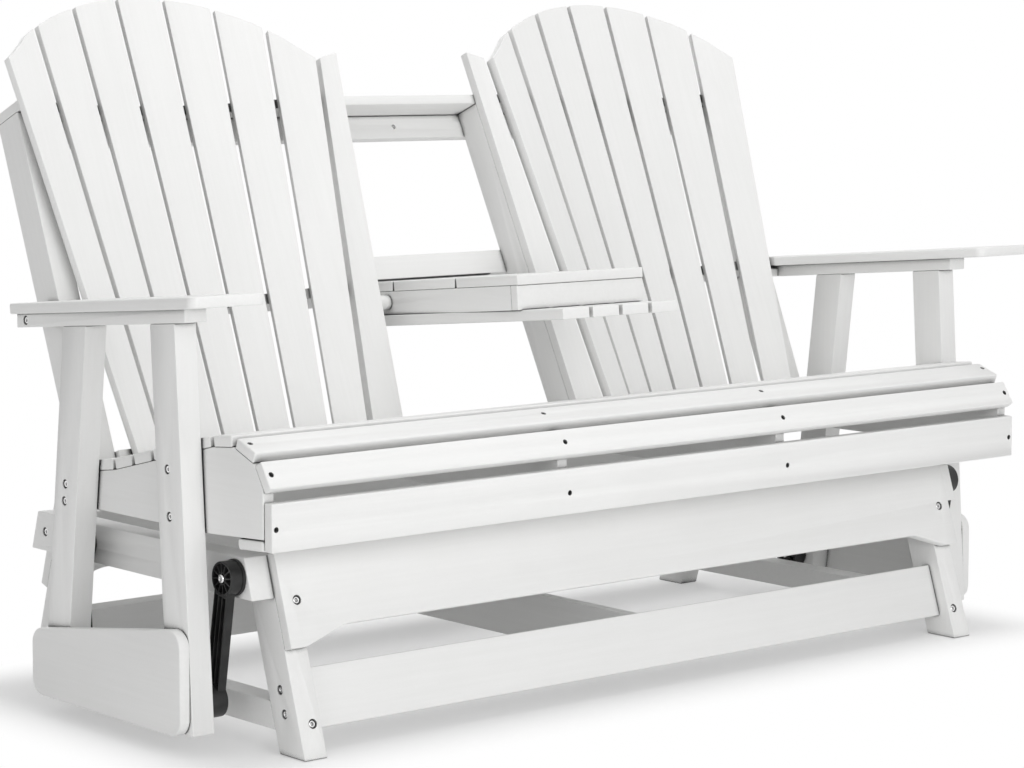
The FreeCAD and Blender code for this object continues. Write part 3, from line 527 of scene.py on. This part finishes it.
# %% Lap the console's corners and trim the spacers
CONSOLE_SLOPE = math.radians(5.2)
CONSOLE_BOARD = 16 * MM
CONSOLE_SKIRTS = ("console_left_skirt", "console_right_skirt", "console_end_skirts")
SPACER_LOW = 0.564


def lap_corner(node, mesh):
    """Lengthen the front skirt at both ends, or shorten a side skirt along its slope."""
    inward = Vector((0, math.cos(CONSOLE_SLOPE), -math.sin(CONSOLE_SLOPE))) * CONSOLE_BOARD
    front = min(vertex.co.y for vertex in mesh.vertices)
    for vertex in mesh.vertices:
        if vertex.co.y < front + 2 * CONSOLE_BOARD:
            if node == "console_end_skirts":
                vertex.co.x += math.copysign(CONSOLE_BOARD, vertex.co.x)
            else:
                vertex.co += inward


def trim_spacers(mesh):
    for vertex in mesh.vertices:
        vertex.co.z = max(vertex.co.z, SPACER_LOW)


# %% [markdown]
# Now the edges can be eased. A Bevel modifier with edge weights rounds each crease of a board fully, and the
# rim of a bolt hole only a little, because a drill leaves a sharper edge than a router.

# %% Ease the edges
CREASE = math.radians(32)
HOLE_SHARE = 0.22
HOLE_SLACK = 0.3 * MM


def near_hole(edge, mesh, holes):
    """True for an edge on the rim, the wall or the floor of a hole."""
    for hole in holes:
        reach = []
        for index in edge.vertices:
            arm = mesh.vertices[index].co - hole["point"]
            reach.append((arm - hole["out"] * arm.dot(hole["out"])).length)
        if max(reach) < hole["radius"] + HOLE_SLACK:
            return True
    return False


def edge_angles(mesh):
    """The angle between the two faces of every edge that has two."""
    work = bmesh.new()
    work.from_mesh(mesh)
    work.edges.ensure_lookup_table()
    angles = [edge.calc_face_angle(0.0) if len(edge.link_faces) == 2 else 0.0 for edge in work.edges]
    work.free()
    return angles


def ease_edges(piece, width, holes):
    mesh = piece.data
    weight = mesh.attributes.new("bevel_weight_edge", "FLOAT", "EDGE")
    for edge, angle in zip(mesh.edges, edge_angles(mesh)):
        share = 1.0 if angle > CREASE else 0.0
        if share and near_hole(edge, mesh, holes):
            share = HOLE_SHARE
        weight.data[edge.index].value = share
    for polygon in mesh.polygons:
        polygon.use_smooth = True
    bevel = piece.modifiers.new("eased_edges", "BEVEL")
    bevel.limit_method = "WEIGHT"
    bevel.width = width
    bevel.segments = 3
    bevel.harden_normals = True
    bevel.use_clamp_overlap = False


print("an edge is a crease from %.0f degrees" % math.degrees(CREASE))

# %% [markdown]
# All the steps meet here, board by board. Boards that hands and legs touch, such as the arms and the seat's
# front, are rounded more than the rest. Each eased board stands for its node, rides on the same body, and
# takes the lumber whose streaks run along it.

# %% Make every board
EASE = 1.7
EASE_OF = {"ledge_board": 5.0, "nosing_slat": 2.4, "slope_slat": 2.2, "left_arm": 2.6, "right_arm": 2.6,
           "left_skirt": 2.4, "right_skirt": 2.4, "seat_slats": 2.4, "left_back_slats": 1.2,
           "right_back_slats": 1.2, "left_inner_slat": 1.2, "right_inner_slat": 1.2, "arm_spacers": 1.2,
           "console_spacers": 0.6}


def grain_of(node):
    low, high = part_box(node)
    span = high - low
    if "back_slats" in node or "inner_slat" in node or "back_post" in node:
        return lumber_reclined
    if span.x >= max(span.y, span.z):
        return lumber_across
    return lumber_deep if span.y > span.z else lumber_upright


for node in boards:
    holes = [item for item in recesses if item["node"] == node]
    name = node + "_eased"
    piece = add_piece(name, flat_faced(frame["nodes"][node].data, name))
    if holes:
        cut_holes(piece, holes)
    if node in CONSOLE_SKIRTS:
        lap_corner(node, piece.data)
    if node == "arm_spacers":
        trim_spacers(piece.data)
    if node in SHAVING_OF:
        plane_sides(piece.data, SHAVING_OF[node] * MM)
    if node in REAR_CHAMFER_OF:
        chamfer_rear(piece.data, REAR_CHAMFER_OF[node] * MM)
    ease_edges(piece, EASE_OF.get(node, EASE) * MM, holes)
    piece.data.materials.clear()
    piece.data.materials.append(grain_of(node))
    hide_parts(node)
    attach(piece, body_of[node])
print("eased boards", len(boards))

# %% [markdown]
# The links, the pivot bolts and the console's pins could be copied and rounded as well. Their ribs, hubs and
# heads are already in the frame, so they keep the frame's own shapes and only take their finish.

# %% Finish the metal and the links
kept_nodes = [node for node in slot_of if node not in boards]
for node in kept_nodes:
    coat = frame["nodes"][node].data.materials
    coat.clear()
    coat.append(black_link if slot_of[node] == "black_link" else steel)
print("nodes that keep their shape", kept_nodes)

# %% [markdown]
# A socket bolt is a turned head with a rounded shoulder and a six-sided pocket. It is drawn as rings from
# the rim inwards: the rings are round down to the pocket's mouth and six-sided inside it, with as many
# points in each, so neighbouring rings join with plain quads. A ring is given as shares of the head's radius
# or the pocket's, and of the head's height.

# %% Rings of a head
POINTS = 24
SHOULDER = ((1.0, 0.0), (1.0, 0.55), (0.93, 0.85), (0.8, 1.0))
POCKET = ((1.12, 1.0, False), (1.0, 0.92, True), (1.0, 0.25, True), (0.3, 0.1, True))


def bolt_rings(radius, tall, pocket):
    """Rings of (radius, height, six sided) from the rim to the floor of the pocket."""
    outside = [(radius * across, tall * up, False) for across, up in SHOULDER]
    inside = [(pocket * across, tall * up, six_sided) for across, up, six_sided in POCKET]
    return outside + inside


def ring_point(step, radius, six_sided):
    turn = 2 * math.pi * step / POINTS
    if six_sided:
        sector = (turn % (math.pi / 3)) - math.pi / 6
        radius = radius * math.cos(math.pi / 6) / math.cos(sector)
    return radius * math.cos(turn), radius * math.sin(turn)


def head_mesh(name, rings):
    """Join the rings with quads and close both ends."""
    work = bmesh.new()
    rows = []
    for radius, height, six_sided in rings:
        row = []
        for step in range(POINTS):
            x, y = ring_point(step, radius, six_sided)
            row.append(work.verts.new((x, y, height)))
        rows.append(row)
    for outer, inner in zip(rows, rows[1:]):
        for step in range(POINTS):
            after = (step + 1) % POINTS
            work.faces.new((outer[step], outer[after], inner[after], inner[step]))
    work.faces.new(rows[-1])
    work.faces.new(list(reversed(rows[0])))
    for face in work.faces:
        face.smooth = True
    mesh = bpy.data.meshes.new(name)
    work.to_mesh(mesh)
    work.free()
    return mesh


print("a head has", len(SHOULDER) + len(POCKET), "rings of", POINTS, "points")

# %% [markdown]
# Each recess gets its head, seated on the floor of the hole and turned to look out of the board. The screws
# are the same head with a smaller pocket. The sizes are the head's radius and height and the pocket's
# radius, in millimetres.

# %% Bolt and screw heads
HEAD_SIZES = {"bolt": (5.4, 3.2, 2.9), "bolt_pivot": (6.2, 3.0, 3.2), "bolt_small": (3.5, 2.6, 1.8),
              "screw": (3.5, 1.8, 1.6)}
for number, item in enumerate(recesses):
    kind = item["kind"]
    radius, tall, pocket = HEAD_SIZES[kind]
    mesh = head_mesh("head_mesh", bolt_rings(radius * MM, tall * MM, pocket * MM))
    seat = item["point"] - item["out"] * item["depth"]
    mesh.transform(Matrix.Translation(seat) @ aim(item["out"]))
    mesh.materials.append(dark_screw if kind == "screw" else steel)
    piece = add_piece("%s_head_%02d" % (kind, number), mesh)
    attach(piece, body_of[item["node"]])
print("heads", len(recesses))

# %% [markdown]
# The floor is a plain pale sheet that keeps the shadow close to the seat and fades to white further out, so
# that no horizon shows. Only rays that look at the background meet the fade, straight from the camera or off
# gloss. The light that the seat receives comes from the lamps, the sky and the plain sheet. Well under the
# seat a weak glow lifts the shadow a little.

# %% Floor finish
FOOTPRINT = (0.76, 0.315, 0.0)
FADE_WIDTH = 0.16
FADE_FROM = 0.3
UNDER_EDGE = 0.02
UNDER_DEEP = 0.2
UNDER_GLOW = 0.26
FLOOR_GREY = grey(0.95)
WHITE = grey(1.0)


def looked_at(finish):
    """1 for rays that show the background: from the camera, off gloss or through glass."""
    camera_ray = finish.node("ShaderNodeLightPath", None, None, "Is Camera Ray")
    gloss_ray = finish.node("ShaderNodeLightPath", None, None, "Is Glossy Ray")
    glass_ray = finish.node("ShaderNodeLightPath", None, None, "Is Transmission Ray")
    return camera_ray + gloss_ray + glass_ray


def smooth_step(finish, value, start, stop, low, high):
    """Go softly from low to high while the value goes from start to stop."""
    return finish.node("ShaderNodeMapRange", {"interpolation_type": "SMOOTHSTEP"},
                       {"Value": value, "From Min": start, "From Max": stop, "To Min": low, "To Max": high})


def pale_floor():
    finish = Finish("pale_floor")
    place = finish.node("ShaderNodeTexCoord", None, None, "Object")
    folded = finish.node("ShaderNodeVectorMath", {"operation": "ABSOLUTE"}, {0: place})
    past = finish.node("ShaderNodeVectorMath", {"operation": "SUBTRACT"}, {0: folded, 1: FOOTPRINT})
    outside = finish.node("ShaderNodeVectorMath", {"operation": "MAXIMUM"}, {0: past, 1: (0.0, 0.0, 0.0)})
    away = finish.node("ShaderNodeVectorMath", {"operation": "LENGTH"}, {0: outside}, "Value")
    fade = smooth_step(finish, away, 0.0, FADE_WIDTH, FADE_FROM, 1.0)
    across = finish.node("ShaderNodeSeparateXYZ", None, {"Vector": past}, "X")
    along = finish.node("ShaderNodeSeparateXYZ", None, {"Vector": past}, "Y")
    under = smooth_step(finish, 0.0 - across.largest(along), UNDER_EDGE, UNDER_DEEP, 0.0, UNDER_GLOW)
    matt = finish.node("ShaderNodeBsdfDiffuse", None, {"Color": FLOOR_GREY})
    glow = finish.node("ShaderNodeEmission", None, {"Color": WHITE, "Strength": 1.0})
    share = (fade + under) * looked_at(finish)
    mixed = finish.node("ShaderNodeMixShader", None, {0: share, 1: matt, 2: glow})
    finish.node("ShaderNodeOutputMaterial", None, {"Surface": mixed})
    return finish.block


print("the shadow fades out %.2f m to the side" % (FOOTPRINT[0] + FADE_WIDTH))

# %% [markdown]
# The sheet itself is one large face, half a millimetre below the feet, so that the two never share a plane.

# %% Floor
FLOOR_HALF = 30.0
FLOOR_DROP = 0.0005
corners = [(-FLOOR_HALF, -FLOOR_HALF, 0), (FLOOR_HALF, -FLOOR_HALF, 0),
           (FLOOR_HALF, FLOOR_HALF, 0), (-FLOOR_HALF, FLOOR_HALF, 0)]
floor_mesh = bpy.data.meshes.new("floor")
floor_mesh.from_pydata(corners, [], [(0, 1, 2, 3)])
floor_mesh.materials.append(pale_floor())
floor = add_piece("floor", floor_mesh)
floor.location.z = -FLOOR_DROP
print("floor", 2 * FLOOR_HALF, "m wide")

# %% [markdown]
# Soft studio light starts with an even sky that fills every side. Looked at, the sky is plain white, as the
# background of the photograph is. As a light it is much weaker, so that the lamps can shape the boards.

# %% Sky
SKY_FILL = 0.46
sky = Finish("studio", bpy.data.worlds)
fill = sky.node("ShaderNodeBackground", None, {"Color": WHITE, "Strength": SKY_FILL})
white = sky.node("ShaderNodeBackground", None, {"Color": WHITE, "Strength": 1.0})
seen = sky.node("ShaderNodeMixShader", None, {0: looked_at(sky), 1: fill, 2: white})
sky.node("ShaderNodeOutputWorld", None, {"Surface": seen})
scene.world = sky.block
print("sky with", len(sky.tree.nodes), "nodes")

# %% [markdown]
# Five large lamps follow. A wide low one at the front left lights the fronts of the boards, also those under
# the seat's edge, and a smaller one stands nearer to the seat. A weak one far to the left lights the left
# sides, one overhead the tops, and one at the rear the backs. Large lamps keep all the shadows soft.

# %% Lamps
LAMPS = {
    "front": {"place": (-1.7, -4.8, 1.3), "aim_at": (0, 0, 0.45), "spread": (4.4, 2.3), "watts": 50},
    "near": {"place": (-0.85, -3.4, 1.45), "aim_at": (0.1, 0, 0.45), "spread": (1.5, 1.5), "watts": 19},
    "left": {"place": (-5.0, -2.4, 1.6), "aim_at": (0, 0, 0.5), "spread": (2.4, 2.4), "watts": 13},
    "top": {"place": (0.3, -0.4, 4.4), "aim_at": (0, 0, 0.4), "spread": (3.2, 3.2), "watts": 67},
    "rear": {"place": (1.6, 5.2, 1.8), "aim_at": (0, 0, 0.5), "spread": (2.8, 2.2), "watts": 26},
}
for name, lamp in LAMPS.items():
    light = bpy.data.lights.new(name, "AREA")
    light.shape = "RECTANGLE"
    light.size, light.size_y = lamp["spread"]
    light.energy = lamp["watts"]
    stand = bpy.data.objects.new(name, light)
    scene.collection.objects.link(stand)
    stand.location = lamp["place"]
    look = Vector(lamp["aim_at"]) - Vector(lamp["place"])
    stand.rotation_euler = look.to_track_quat("-Z", "Y").to_euler()
print("lamps", len(LAMPS), "with", sum(lamp["watts"] for lamp in LAMPS.values()), "W")

# %% [markdown]
# The camera stands at the photograph's place: about 4.6 m away, a little below the top of the backs, with a
# long lens and turned 40 degrees to the left of the seat's front. The photograph keeps its upright edges
# nearly parallel, so part of the downward look is a tilt and the rest is a shift of the lens.

# %% Camera
IMAGE_WIDE = 1024
FOCAL_PIXELS = 2927.3
SENSOR = 36.0
CAMERA_PLACE = (-2.9837, -3.5333, 0.9564)
CAMERA_AZIMUTH = -40.065
CAMERA_TILT = 5.191
CAMERA_DROP = -0.06
eye = bpy.data.cameras.new("camera")
eye.sensor_width = SENSOR
eye.lens = FOCAL_PIXELS * SENSOR / IMAGE_WIDE
eye.shift_y = CAMERA_DROP
camera = bpy.data.objects.new("camera", eye)
scene.collection.objects.link(camera)
camera.location = CAMERA_PLACE
camera.rotation_euler = (math.radians(90 - CAMERA_TILT), 0, math.radians(CAMERA_AZIMUTH))
scene.camera = camera
scene.view_settings.view_transform = "Standard"
print("lens %.1f mm" % eye.lens)

# %% [markdown] Last, the number of pieces that are drawn is printed.

# %% Count of drawn pieces
print("drawn pieces", len(boards) + len(recesses) + len(kept_nodes))
